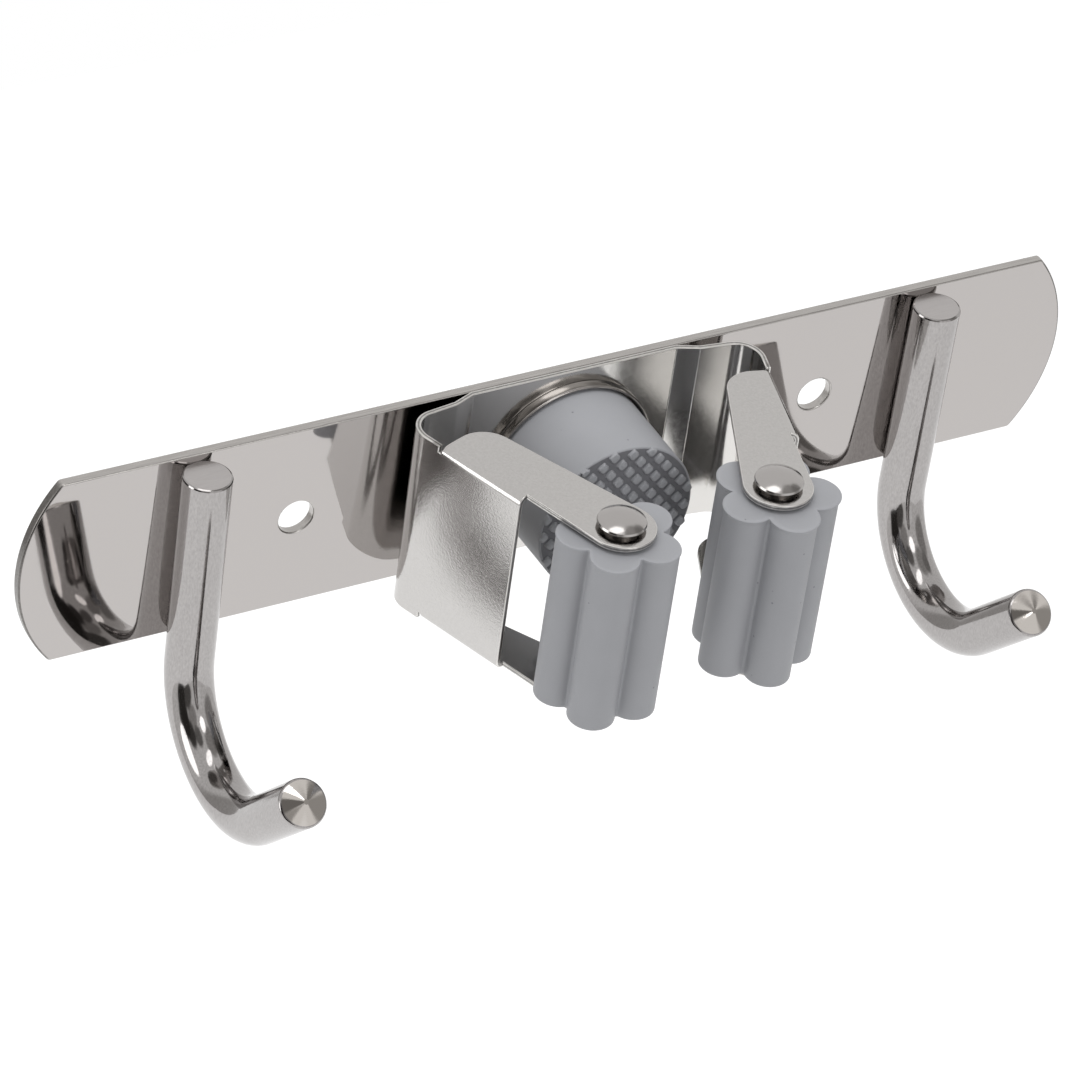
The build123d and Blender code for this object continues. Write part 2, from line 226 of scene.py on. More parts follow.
def sheet(name, loops, cuts, place, thickness, edge, butt=()):
    """Mesh of a piece of sheet with rounded cut edges.

    loops are the outlines on the flat, with the sheet on their left. cuts are (axis, value) lines where
    it bends. place(u, v) gives the outer face's point, its two directions and its outward normal there.
    At the u values in butt the sheet runs on into the next piece, so its edge stays square. The
    attribute "through" runs from 0 on the outer face to 1 on the inner one. The materials are the outer
    face's, the inner face's and the cut edge's.
    """
    def step_aside(before, at, after):
        step = miter(before, at, after)
        if any(abs(at[0] - u) < TOUCH for u in butt):
            step.x = 0
        return step

    flat = bmesh.new()
    for loop in loops:
        corners = []
        for i, at in enumerate(loop):
            step = step_aside(loop[i - 1], at, loop[(i + 1) % len(loop)])
            corners.append(flat.verts.new((at[0] - edge * step.x, at[1] - edge * step.y, 0)))
        for i, corner in enumerate(corners):
            flat.edges.new((corners[i - 1], corner))
    bmesh.ops.triangle_fill(flat, edges=flat.edges[:], use_beauty=True, normal=(0, 0, 1))
    for axis, value in cuts:
        square = Vector((0, 0, 0))
        square[axis] = 1
        bmesh.ops.bisect_plane(flat, geom=flat.verts[:] + flat.edges[:] + flat.faces[:], dist=1e-5,
                               plane_co=value * square, plane_no=square)
    bmesh.ops.recalc_face_normals(flat, faces=flat.faces[:])
    if flat.faces[:][0].normal.z < 0:
        bmesh.ops.reverse_faces(flat, faces=flat.faces[:])
    flat.verts.index_update()
    flat.verts.ensure_lookup_table()

    spots = [place(v.co.x, v.co.y) for v in flat.verts]
    points = [p for p, _, _, _ in spots] + [p - thickness * out for p, _, _, out in spots]
    normals = [out for _, _, _, out in spots] + [-out for _, _, _, out in spots]
    count = len(spots)
    through = [0.0] * count + [1.0] * count
    next_on_rim = {}
    for e in flat.edges:
        if e.is_boundary:
            start = e.link_loops[0].vert
            next_on_rim[start.index] = e.other_vert(start).index
    last_on_rim = {b: a for a, b in next_on_rim.items()}
    turns = [i * pi / 2 / RIM_STEPS for i in range(RIM_STEPS + 1)]
    profile = [(a, edge * sin(a), edge * (1 - cos(a)), 1) for a in turns]
    profile += [(a, edge * sin(a), thickness - edge * (1 - cos(a)), -1) for a in reversed(turns)]
    rings = {}
    for at in next_on_rim:
        step = step_aside(*(flat.verts[i].co for i in (last_on_rim[at], at, next_on_rim[at])))
        point, along_u, along_v, out = spots[at]
        aside = step.x * along_u + step.y * along_v
        ring = [at]
        for a, reach, depth, side in profile[1:-1]:
            ring.append(len(points))
            points.append(point + aside * reach - out * depth)
            through.append(depth / thickness)
            lean = (side * cos(a) * out + sin(a) * aside).normalized()
            normals.append(lean if aside.length else out * side)
        rings[at] = ring + [at + count]

    faces = [[v.index for v in f.verts] for f in flat.faces]
    kinds = [0] * len(faces) + [1] * len(faces)
    faces += [[i + count for i in reversed(f)] for f in faces]
    for a, b in next_on_rim.items():
        for k in range(len(profile) - 1):
            faces.append([rings[a][k], rings[a][k + 1], rings[b][k + 1], rings[b][k]])
            kinds.append(2)
    flat.free()
    _, along_u, along_v, out = spots[0]
    if along_u.cross(along_v).dot(out) < 0:
        faces = [f[::-1] for f in faces]
    mesh = bpy.data.meshes.new(name)
    mesh.from_pydata([p * MM for p in points], [], faces)
    mesh.polygons.foreach_set("use_smooth", [True] * len(faces))
    mesh.polygons.foreach_set("material_index", kinds)
    mesh.normals_split_custom_set_from_vertices(normals)
    mesh.attributes.new("through", "FLOAT", "POINT").data.foreach_set("value", through)
    return mesh


def new_piece(name, mesh, *materials):
    """Put a mesh in the scene under its materials."""
    for material in materials:
        mesh.materials.append(material)
    piece = bpy.data.objects.new(name, mesh)
    scene.collection.objects.link(piece)
    return piece


def new_material(name):
    """A blank material, its node tree, and the place on the piece that its patterns follow."""
    material, tree = blank_material(name)
    return material, tree, add(tree, "ShaderNodeTexCoord").outputs["Object"]


def stretched(tree, spot, *sizes):
    """The place in units of these millimetres along X, Y and Z, for a pattern that is drawn out."""
    return add(tree, "ShaderNodeMapping", {"Vector": spot, "Scale": [1 / (s * MM) for s in sizes]}).outputs[0]


def noise(tree, spot, scale, detail, roughness=0.5):
    """Cloudy pattern, from about 0.3 to 0.7."""
    return add(tree, "ShaderNodeTexNoise", {"Vector": spot, "Scale": scale, "Detail": detail,
                                            "Roughness": roughness}).outputs[0]


def bump(tree, height, strength, distance, **under):
    """Normal of a surface with this relief, laid over another one's Normal where that is given."""
    return add(tree, "ShaderNodeBump", {"Height": height, "Strength": strength, "Distance": distance,
                                        **under}).outputs[0]


def surface(tree, colour, roughness, normal, kind):
    """Give a material its shader."""
    shader = add(tree, "ShaderNodeBsdfPrincipled", {"Base Color": colour, "Roughness": roughness,
                                                    "Normal": normal, **kind})
    add(tree, "ShaderNodeOutputMaterial", {"Surface": shader.outputs[0]})


# Mirror-polished stainless: sharp reflections in a warm pale grey, with the faint waves of the polishing
# wheel and a few tiny dents. Polishing left the face very slightly crowned and out of true.
plate_steel, tree, spot = new_material("mirror_polished_stainless")
wave = noise(tree, spot, 1 / (30 * MM), 1.0)
haze = noise(tree, spot, 1 / (9 * MM), 4.0)
dents = add(tree, "ShaderNodeTexVoronoi", {"Vector": spot, "Scale": 1 / (14 * MM)})
dent = rescale(tree, dents.outputs["Distance"], 0.0, 0.022)
axes = add(tree, "ShaderNodeSeparateXYZ", {0: spot}).outputs
crown = calc(tree, "MULTIPLY", axes["Z"], axes["Z"])
crown = calc(tree, "MULTIPLY", crown, -1 / (2 * CROWN_RADIUS * MM))
crown = calc(tree, "MULTIPLY_ADD", axes["X"], -LIST, crown)
on_right = calc(tree, "GREATER_THAN", axes["X"], 0.0)
true_x = rescale(tree, on_right, 0.0, 1.0, TWIST_X[0] * MM, TWIST_X[1] * MM)
aside = calc(tree, "SUBTRACT", axes["X"], true_x)
aside = calc(tree, "MULTIPLY", aside, axes["Z"])
crown = calc(tree, "MULTIPLY_ADD", aside, TWIST / MM, crown)
normal = bump(tree, crown, 1.0, 1.0)
normal = bump(tree, wave, 0.03, 1 * MM, Normal=normal)
normal = bump(tree, dent, 0.25, 0.1 * MM, Normal=normal)
surface(tree, linear("#B4B0AE"), rescale(tree, haze, *MOST, 0.02, 0.05), normal, METAL)

# Rolled stainless: the wall side, left as the mill rolled it, a dull silver with a faint cloudiness.
rolled_steel, tree, spot = new_material("mill_rolled_stainless")
cloud = noise(tree, spot, 1 / (12 * MM), 4.0)
grain = noise(tree, spot, 1 / (0.5 * MM), 4.0)
surface(tree, linear("#B4B1AF"), rescale(tree, cloud, *MOST, 0.26, 0.36),
        bump(tree, grain, 0.1, 0.05 * MM), METAL)

# Ground stainless edge: the same steel with short scratches across it from the grinding belt, which left
# the bowed ends coarser and darker.
ground_edge, tree, spot = new_material("ground_stainless_edge")
scratch = noise(tree, stretched(tree, spot, 6, 0.3, 0.5), 1.0, 5.0, 0.7)
fine = tint(tree, scratch, linear("#969390"), linear("#CECBC8"))
coarse = tint(tree, scratch, linear("#2E2C2A"), linear("#A09D9A"))
axes = add(tree, "ShaderNodeSeparateXYZ", {0: spot}).outputs
at_end = rescale(tree, calc(tree, "ABSOLUTE", axes["X"]), COARSE_X[0] * MM, COARSE_X[1] * MM)
surface(tree, tint(tree, at_end, fine, coarse), 0.24, bump(tree, scratch, 0.3, 0.05 * MM), METAL)

corner_z = PLATE_HEIGHT / 2
bow_radius = (corner_z ** 2 + PLATE_END_RISE ** 2) / (2 * PLATE_END_RISE)
bow_x = PLATE_LENGTH / 2 - bow_radius
# middle of the small corner arc, from the middle of the bow, and the angle at which the two touch
nip_z = corner_z - PLATE_CORNER
nip_x = ((bow_radius - PLATE_CORNER) ** 2 - nip_z ** 2) ** 0.5
nip_angle = degrees(asin(nip_z / (bow_radius - PLATE_CORNER)))
right_end = arc((bow_x + nip_x, -nip_z), PLATE_CORNER, -90, -nip_angle, 12)
right_end += arc((bow_x, 0), bow_radius, -nip_angle, nip_angle, 2)[1:-1]
right_end += arc((bow_x + nip_x, nip_z), PLATE_CORNER, nip_angle, 90, 12)
outline = right_end + [(-x, -z) for x, z in right_end]
holes = [arc((x, 0), SCREW_HOLE_RADIUS, 360, 0)[:-1] for x in (-SCREW_HOLE_X, SCREW_HOLE_X)]


def on_plate(u, v):
    """Place on the plate's front, as sheet asks for it."""
    return Vector((u, -PLATE_THICKNESS, v)), Vector((1, 0, 0)), Vector((0, 0, 1)), Vector((0, -1, 0))


back_plate = new_piece("polished_back_plate",
                       sheet("back_plate", [outline, *holes], [], on_plate, PLATE_THICKNESS, PLATE_EDGE),
                       plate_steel, rolled_steel, ground_edge)
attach(back_plate, "holder")
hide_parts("back_plate")


# Hooks: round stainless bar, polished, bent to a J and welded to the plate along its shank. The upper
# end is sawn off and ground, and the tip is turned to a blunt point.

BAR_RADIUS = 4.6
HOOK_X = 76.5
HOOK_DEPTH = 6.3  # from the wall to the middle of the shank
HOOK_TOP = 18.4
HOOK_RUNS = ((41.6,), (18.7, 138.0), (19.8,))
HOOK_BEVEL = 0.4
POINT_RISE, POINT_FLAT = 1.5, 0.5  # height of the turned point and radius of the flat in its middle
POINT_EDGE = 0.7  # rounding round its foot
BAR_SIDES = 72
BAR_CREASE = 15  # degrees


def onward(run, distance):
    """Point and heading at some distance into a straight run or a bend."""
    _, x, y, heading, curve = run
    if not curve:
        return x + distance * cos(heading), y + distance * sin(heading), heading
    turned = heading + curve * distance
    return x + (sin(turned) - sin(heading)) / curve, y + (cos(heading) - cos(turned)) / curve, turned


def bent_line(start, heading, runs):
    """Straight runs (length,) and bends (radius, degrees) laid end to end, and their whole length."""
    line, done = [], 0.0
    here = (*start, radians(heading))
    for run in runs:
        curve = copysign(1 / run[0], run[1]) if len(run) == 2 else 0.0
        line.append((done, *here, curve))
        length = run[0] * radians(abs(run[1])) if curve else run[0]
        here = onward(line[-1], length)
        done += length
    return line, done


def along_line(line, distance):
    """Point and heading at some distance along a bent line."""
    run = [r for r in line if r[0] <= distance + 1e-9][-1]
    return onward(run, distance - run[0])


def stops(line, length, step):
    """Distances along a bent line: both ends of every run, and steps of some degrees round its bends."""
    found = []
    for i, run in enumerate(line):
        stop = line[i + 1][0] if i + 1 < len(line) else length
        count = max(1, ceil(abs(run[4]) * (stop - run[0]) / radians(step)))
        found += [run[0] + (stop - run[0]) * k / count for k in range(count)]
    return found + [length]


# Polished stainless bar: bright, but finely pitted and streaked, as drawing and tumbling leave it.
bar_steel, tree, spot = new_material("polished_stainless_bar")
grain = noise(tree, spot, 1 / (2.5 * MM), 5.0)
streak = noise(tree, stretched(tree, spot, 0.3, 0.3, 0.8), 1.0, 4.0)
shade = tint(tree, rescale(tree, streak, *MOST), linear("#9C9998"), linear("#ACA9A8"))
normal = bump(tree, grain, 0.04, 0.2 * MM)
normal = bump(tree, streak, 0.05, 0.05 * MM, Normal=normal)
surface(tree, shade, rescale(tree, grain, *MOST, 0.07, 0.13), normal, METAL)

# Sawn stainless: the bar's flat top end, a pale satin with the faint lines of the saw.
sawn_steel, tree, spot = new_material("sawn_stainless_end")
kerf = noise(tree, stretched(tree, spot, 3, 0.25, 1), 1.0, 4.0)
shade = tint(tree, kerf, linear("#B0ACAB"), linear("#C0BDBC"))
surface(tree, shade, 0.3, bump(tree, kerf, 0.1, 0.05 * MM), METAL)

# Turned stainless: bright, with the faint chatter of the tool, so each side of the point shows one tone.
turned_steel, tree, spot = new_material("turned_stainless_end")
grain = noise(tree, spot, 1 / (0.4 * MM), 3.0)
surface(tree, linear("#CBC6C1"), 0.06, bump(tree, grain, 0.1, 0.05 * MM), METAL)

hook_line, hook_length = bent_line((HOOK_DEPTH, HOOK_TOP), -90, HOOK_RUNS)
# rings of the bar, as (distance along it, radius), from the middle of the sawn end to that of the point
rings = [(0, 0.0), (0, BAR_RADIUS - HOOK_BEVEL), (HOOK_BEVEL / 3, BAR_RADIUS - HOOK_BEVEL / 3)]
rings += [(HOOK_BEVEL, BAR_RADIUS)] + [(s, BAR_RADIUS) for s in stops(hook_line, hook_length, 3)[1:-1]]
fall = atan((BAR_RADIUS - POINT_FLAT) / POINT_RISE)  # how far the point's side turns in from the bar's
edge_start = hook_length - POINT_EDGE * tan(fall / 2)
rings += arc((edge_start, BAR_RADIUS - POINT_EDGE), POINT_EDGE, 90, 90 - degrees(fall), 10)
rings += [(hook_length + POINT_RISE, POINT_FLAT), (hook_length + POINT_RISE, 0.0)]
for side, x in (("left", -HOOK_X), ("right", HOOK_X)):
    points, faces, kinds = [], [], []
    for s, radius in rings:
        depth, z, heading = along_line(hook_line, min(s, hook_length))
        past = max(0, s - hook_length)
        depth += past * cos(heading)
        z += past * sin(heading)
        for i in range(BAR_SIDES if radius else 1):
            a = 2 * pi * i / BAR_SIDES
            aside = radius * sin(a)
            points.append((x + radius * cos(a), -(depth - aside * sin(heading)), z + aside * cos(heading)))
    starts = [1 + BAR_SIDES * k for k in range(len(rings) - 2)]
    for i in range(BAR_SIDES):
        j = (i + 1) % BAR_SIDES
        faces.append((0, starts[0] + i, starts[0] + j))
        kinds.append(1)
        for a, b in zip(starts, starts[1:]):
            faces.append((a + i, b + i, b + j, a + j))
            kinds.append(2 if b == starts[-1] else 0)
        faces.append((starts[-1] + i, len(points) - 1, starts[-1] + j))
        kinds.append(2)
    mesh = bpy.data.meshes.new(side + "_hook")
    mesh.from_pydata([Vector(p) * MM for p in points], [], faces)
    mesh.polygons.foreach_set("use_smooth", [True] * len(faces))
    mesh.polygons.foreach_set("material_index", kinds)
    mesh.set_sharp_from_angle(angle=radians(BAR_CREASE))
    hook = new_piece(side + "_bar_hook", mesh, bar_steel, sawn_steel, turned_steel)
    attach(hook, "holder")
    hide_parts(side + "_hook")


# Clip base: the flat middle of a spring clip bent from 1 mm stainless sheet, spot-welded to the plate.
# At each side it steps up off the plate and runs on, a little sprung, into an arm.

SHEET = 1.0
SHEET_EDGE = 0.18
CLIP_TOP, CLIP_BOTTOM = 20.0, -19.6
FLEX_X = 26.8  # where an arm starts
WING_BACK = 3.7
WING_RISE = 7.5  # degrees
BASE_FLAT, JOG_RUN, JOG_STEP, WING_ROOT = 43.0, 4.3, 1.7, 1.0
JOG_INSIDE = 1.2
BEND_STEP = 4  # degrees

# Cold-rolled stainless sheet: a satin skin with a fine mottled grain.
clip_steel, tree, spot = new_material("satin_rolled_stainless")
grain = noise(tree, spot, 1 / (0.45 * MM), 4.0, 0.65)
cloud = noise(tree, spot, 1 / (7 * MM), 3.0)
shade = tint(tree, rescale(tree, grain, *MOST), linear("#BDBBB9"), linear("#C5C3C1"))
surface(tree, shade, rescale(tree, cloud, *MOST, 0.08, 0.13), bump(tree, grain, 0.24, 0.08 * MM), METAL)

# Bright stainless sheet: the clip's inner face, which keeps the gloss of its protective film.
bright_sheet, tree, spot = new_material("bright_rolled_stainless")
wave = noise(tree, spot, 1 / (12 * MM), 2.0)
grain = noise(tree, spot, 1 / (0.8 * MM), 4.0)
surface(tree, linear("#D4D2CF"), rescale(tree, grain, *MOST, 0.12, 0.18),
        bump(tree, wave, 0.02, 1 * MM), METAL)

# Sheared stainless edge: bright at its two corners, partly where the shear rubbed and partly a painted
# highlight for the light that the rounded corners catch, and torn and dull between.
sheared_edge, tree, spot = new_material("sheared_stainless_edge")
tear = noise(tree, spot, 1 / (0.6 * MM), 4.0)
through = add(tree, "ShaderNodeAttribute", attribute_name="through").outputs["Fac"]
off_middle = calc(tree, "ABSOLUTE", calc(tree, "SUBTRACT", through, 0.5))
rubbed_and_highlit = rescale(tree, calc(tree, "MULTIPLY_ADD", tear, 0.3, off_middle), 0.25, 0.4)
# lighter corners: rubbed steel plus painted highlight
shade = tint(tree, rubbed_and_highlit, linear("#8A8886"), linear("#D6D4D1"))
surface(tree, shade, 0.3, bump(tree, tear, 0.4, 0.1 * MM), METAL)

jog_turn = atan(JOG_STEP / JOG_RUN)
jog_outside = JOG_INSIDE + SHEET
jog_shift = SHEET * tan(jog_turn / 2)  # of a front corner from the wall side's
wide, tight = jog_outside * tan(jog_turn / 2), JOG_INSIDE * tan(jog_turn / 2)
rise = radians(WING_RISE)
root_reach = WING_ROOT + jog_shift - wide + jog_outside * sin(rise)
root_y = -WING_BACK - SHEET + jog_outside * (1 - cos(rise)) - root_reach * tan(rise)
half_runs = [(root_reach / cos(rise),), (jog_outside, degrees(jog_turn) - WING_RISE),
             (hypot(JOG_RUN, JOG_STEP) - wide - tight,), (JOG_INSIDE, -degrees(jog_turn))]
base_runs = [*half_runs, (BASE_FLAT - 2 * jog_shift - 2 * tight,), *reversed(half_runs)]
base_line, base_length = bent_line((-FLEX_X, root_y), WING_RISE, base_runs)


def on_base(u, v):
    """Place on the base's room side, as sheet asks for it."""
    x, y, heading = along_line(base_line, u)
    return (Vector((x, y, v)), Vector((cos(heading), sin(heading), 0)), Vector((0, 0, 1)),
            Vector((sin(heading), -cos(heading), 0)))


outline = [(0, CLIP_BOTTOM), (base_length, CLIP_BOTTOM), (base_length, CLIP_TOP), (0, CLIP_TOP)]
cuts = [(0, s) for s in stops(base_line, base_length, BEND_STEP)[1:-1]]
mesh = sheet("clip_base", [outline], cuts, on_base, SHEET, SHEET_EDGE, butt=(0, base_length))
clip_base = new_piece("clip_base_sheet", mesh, bright_sheet, clip_steel, sheared_edge)
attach(clip_base, "holder")
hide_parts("clip_base")


# Arms: the clip's two springy sides. Each goes round a bend and out from the wall, and has an ear folded
# in at its top and bottom that hold a roller's pin. A small slot at each fold's root lets the sheet bend.

WING_LENGTH = 4.68
BEND_OUTSIDE = 5.2
RELIEF_START, RELIEF_WIDTH, RELIEF_DEPTH = 3.47, 0.6, 1.3
FOLD_OUTSIDE = 1.8
FOLD_STEPS = 8
WEB_LENGTH = 23.27
EAR_START = RELIEF_START + RELIEF_WIDTH
EAR_REAR_RADIUS, EAR_TIP_RADIUS = 6.0, 6.5
PIN_INSET = 8.4
PIN_HOLE = 2.05
ARM_SIZES = {  # lean in degrees, reach to the pin, widths of the top and bottom ear, which way it faces
    "left": (19.5, 39.87, 11.6, 8.6, -1),
    "right": (14.5, 37.87, 10.2, 10.4, 1),
}
fold_length = FOLD_OUTSIDE * pi / 2
fold_top, fold_bottom = CLIP_TOP - FOLD_OUTSIDE, CLIP_BOTTOM + FOLD_OUTSIDE


def ear_outline(reach, width):
    """Points (along the arm, in from its outer face) round an ear, from its rear to its window edge."""
    rear = (EAR_START + EAR_REAR_RADIUS, width - EAR_REAR_RADIUS)
    tip = (reach, PIN_INSET)
    run = Vector(tip) - Vector(rear)
    side = run.angle_signed(Vector((1, 0))) + acos((EAR_REAR_RADIUS - EAR_TIP_RADIUS) / run.length)
    points = arc(rear, EAR_REAR_RADIUS, 180, degrees(side)) + arc(tip, EAR_TIP_RADIUS, degrees(side), -90)
    return points + [(WEB_LENGTH, PIN_INSET - EAR_TIP_RADIUS)]


def over_fold(inward):
    """Length of sheet from the start of a fold to a point so far in from the arm's outer face."""
    return fold_length + inward - FOLD_OUTSIDE


for side, (lean, reach, top_ear, bottom_ear, facing) in ARM_SIZES.items():
    arm_line, arm_length = bent_line((FLEX_X + SHEET * sin(rise), root_y + SHEET * cos(rise)), -WING_RISE, [
        (WING_LENGTH,), (BEND_OUTSIDE, WING_RISE - 90 - lean), (reach + EAR_TIP_RADIUS,)])
    straight = arm_line[-1][0]

    def on_arm(u, v):
        """Place on the arm's outer face, as sheet asks for it."""
        x, y, heading = along_line(arm_line, u)
        out = Vector((-facing * sin(heading), cos(heading), 0))
        along = Vector((facing * cos(heading), sin(heading), 0))
        up = Vector((0, 0, 1))
        point = Vector((facing * x, y, v))
        if u < straight + (RELIEF_START + EAR_START) / 2 or fold_bottom <= v <= fold_top:
            return point, along, up, out
        sign, fold = (1, fold_top) if v > fold_top else (-1, fold_bottom)
        past = sign * (v - fold)
        a = min(past / FOLD_OUTSIDE, pi / 2)
        point -= out * (FOLD_OUTSIDE * (1 - cos(a)) + max(0, past - fold_length))
        point.z = fold + sign * FOLD_OUTSIDE * sin(a)
        return point, along, up * cos(a) - sign * out * sin(a), out * cos(a) + sign * up * sin(a)

    lower = [(straight + x, fold_bottom - over_fold(w)) for x, w in ear_outline(reach, bottom_ear)]
    upper = [(straight + x, fold_top + over_fold(w)) for x, w in ear_outline(reach, top_ear)]
    slot, ear = straight + RELIEF_START, straight + EAR_START
    outline = [(0, CLIP_BOTTOM), (slot, CLIP_BOTTOM), (slot, CLIP_BOTTOM + RELIEF_DEPTH),
               (ear, CLIP_BOTTOM + RELIEF_DEPTH), *lower, *reversed(upper), (ear, CLIP_TOP - RELIEF_DEPTH),
               (slot, CLIP_TOP - RELIEF_DEPTH), (slot, CLIP_TOP), (0, CLIP_TOP)]
    pin_holes = [arc((straight + reach, v), PIN_HOLE, 360, 0, 12)[:-1]
                 for v in (fold_bottom - over_fold(PIN_INSET), fold_top + over_fold(PIN_INSET))]
    cuts = [(0, s) for s in stops(arm_line, arm_length, BEND_STEP)[1:-1]]
    cuts += [(1, fold_top + fold_length * k / FOLD_STEPS) for k in range(FOLD_STEPS + 1)]
    cuts += [(1, fold_bottom - fold_length * k / FOLD_STEPS) for k in range(FOLD_STEPS + 1)]
    mesh = sheet(side + "_arm", [outline, *pin_holes], cuts, on_arm, SHEET, SHEET_EDGE, butt=(0,))
    spring = new_piece(side + "_spring_arm", mesh, clip_steel, bright_sheet, sheared_edge)
    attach(spring, side + "_jaw")
    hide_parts(side + "_arm")


# Stop cup: a shallow cup pressed from thin bright steel, riveted to the middle of the clip's base. The
# rubber stop stands in it.

STOP_HEIGHT = 0.4  # axis above the middle of the plate
CUP_FOOT = 3.0  # from the wall
CUP_RADIUS, CUP_HEIGHT, CUP_WALL = 17.1, 2.2, 0.6
CUP_EDGE = 0.3
STOP_SIDES = 128


def lathe(name, profile, sides):
    """Mesh turned about Z from points (radius, height), from one pole to the other."""
    points, faces, starts = [], [], []
    for radius, height in profile:
        starts.append((len(points), sides if radius > 1e-6 else 1))
        for i in range(starts[-1][1]):
            a = 2 * pi * i / sides
            points.append(Vector((radius * cos(a), radius * sin(a), height)) * MM)
    for (a, many_a), (b, many_b) in zip(starts, starts[1:]):
        for i in range(sides):
            j = (i + 1) % sides
            ring = [a + i % many_a, a + j % many_a, b + j % many_b, b + i % many_b]
            faces.append(list(dict.fromkeys(ring)))
    mesh = bpy.data.meshes.new(name)
    mesh.from_pydata(points, [], faces)
    mesh.polygons.foreach_set("use_smooth", [True] * len(faces))
    mesh.set_sharp_from_angle(angle=radians(30))
    return mesh


# Bright drawn steel: almost a mirror, with the faint ripple that the press leaves.
cup_steel, tree, spot = new_material("bright_drawn_steel")
ripple = noise(tree, spot, 1 / (1.5 * MM), 3.0)
surface(tree, linear("#A8A4A1"), rescale(tree, ripple, *MOST, 0.06, 0.16),
        bump(tree, ripple, 0.05, 0.2 * MM), METAL)

rim = CUP_WALL / 2
bore = CUP_RADIUS - CUP_WALL
profile = [(0, 0), (CUP_RADIUS - CUP_EDGE, 0), (CUP_RADIUS - 0.3 * CUP_EDGE, 0.3 * CUP_EDGE),
           (CUP_RADIUS, CUP_EDGE)]
profile += arc((CUP_RADIUS - rim, CUP_HEIGHT - rim), rim, 0, 180, 20)
profile += [(bore, CUP_WALL + CUP_EDGE), (bore - CUP_EDGE, CUP_WALL), (0, CUP_WALL)]
cup = new_piece("drawn_stop_cup", lathe("stop_cup", profile, STOP_SIDES), cup_steel)
cup.location = Vector((0, -CUP_FOOT, STOP_HEIGHT)) * MM
cup.rotation_euler.x = pi / 2
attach(cup, "holder")
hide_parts("stop_cup")


# Stop plug: a round plug of grey moulded rubber that the handle is pressed against, its face covered in
# small square studs for grip. The rim of the mould cuts through the outer studs.

PLUG_FOOT = 0.6  # above the cup's own foot
PLUG_FOOT_RADIUS, PLUG_FACE_RADIUS = 16.0, 15.9
PLUG_FOOT_EDGE, PLUG_EDGE = 0.2, 0.4
PLUG_FACE = 19.85  # height of the face between the studs
STUD_PITCH, STUD_SIDE, STUD_HEIGHT = 2.79, 1.7, 0.55
STUD_TURN, STUD_SHIFT = 41.0, 0.84  # the rows' angle in degrees, and how far they miss the face's middle
STUD_CORNER = 0.35
STUD_LAYERS = (  # how far a stud is wider on each side than STUD_SIDE says, and how high above the face
    (0.1, -0.8), (0.1, 0.0), (0.0, STUD_HEIGHT - 0.3), (-0.1, STUD_HEIGHT - 0.08), (-0.3, STUD_HEIGHT))
RIM_OVERHANG = 0.1  # a stud is kept where its middle is no further out past the rim
RIM_INSET = 0.4  # and is cut back towards a point this far inside
RIM_DRAFT, RIM_BELOW = 0.25, 0.3  # slope of the cut, which starts this far below the face
RUBBER = {"IOR": 1.52}
RUBBER_CREASE = 40  # degrees

# Moulded grey rubber: matt, with a faint cloudiness, a skin like very fine leather and specks of dust.
rubber, tree, spot = new_material("moulded_grey_rubber")
cloud = noise(tree, spot, 1 / (9 * MM), 3.0)
skin = noise(tree, spot, 1 / (0.35 * MM), 3.0)
dust = add(tree, "ShaderNodeTexVoronoi", {"Vector": spot, "Scale": 1 / (3.6 * MM)})
clean = rescale(tree, dust.outputs["Distance"], 0.035, 0.07)
shade = tint(tree, cloud, linear("#9C9DA1"), linear("#A5A6AA"))
surface(tree, tint(tree, clean, linear("#7A7B7F"), shade), rescale(tree, skin, *MOST, 0.5, 0.62),
        bump(tree, skin, 0.08, 0.05 * MM), RUBBER)

# Groove rubber: the same moulding between the studs, painted darker to stand for the shade that falls in the
# grooves.
shaded_groove_rubber, tree, spot = new_material("groove_shade_grey_rubber")
groove_mottle = noise(tree, spot, 1 / (1.5 * MM), 4.0)
surface(tree, tint(tree, groove_mottle, linear("#6C6C70"), linear("#7D7D81")), 0.65,
        bump(tree, groove_mottle, 0.1, 0.05 * MM), RUBBER)

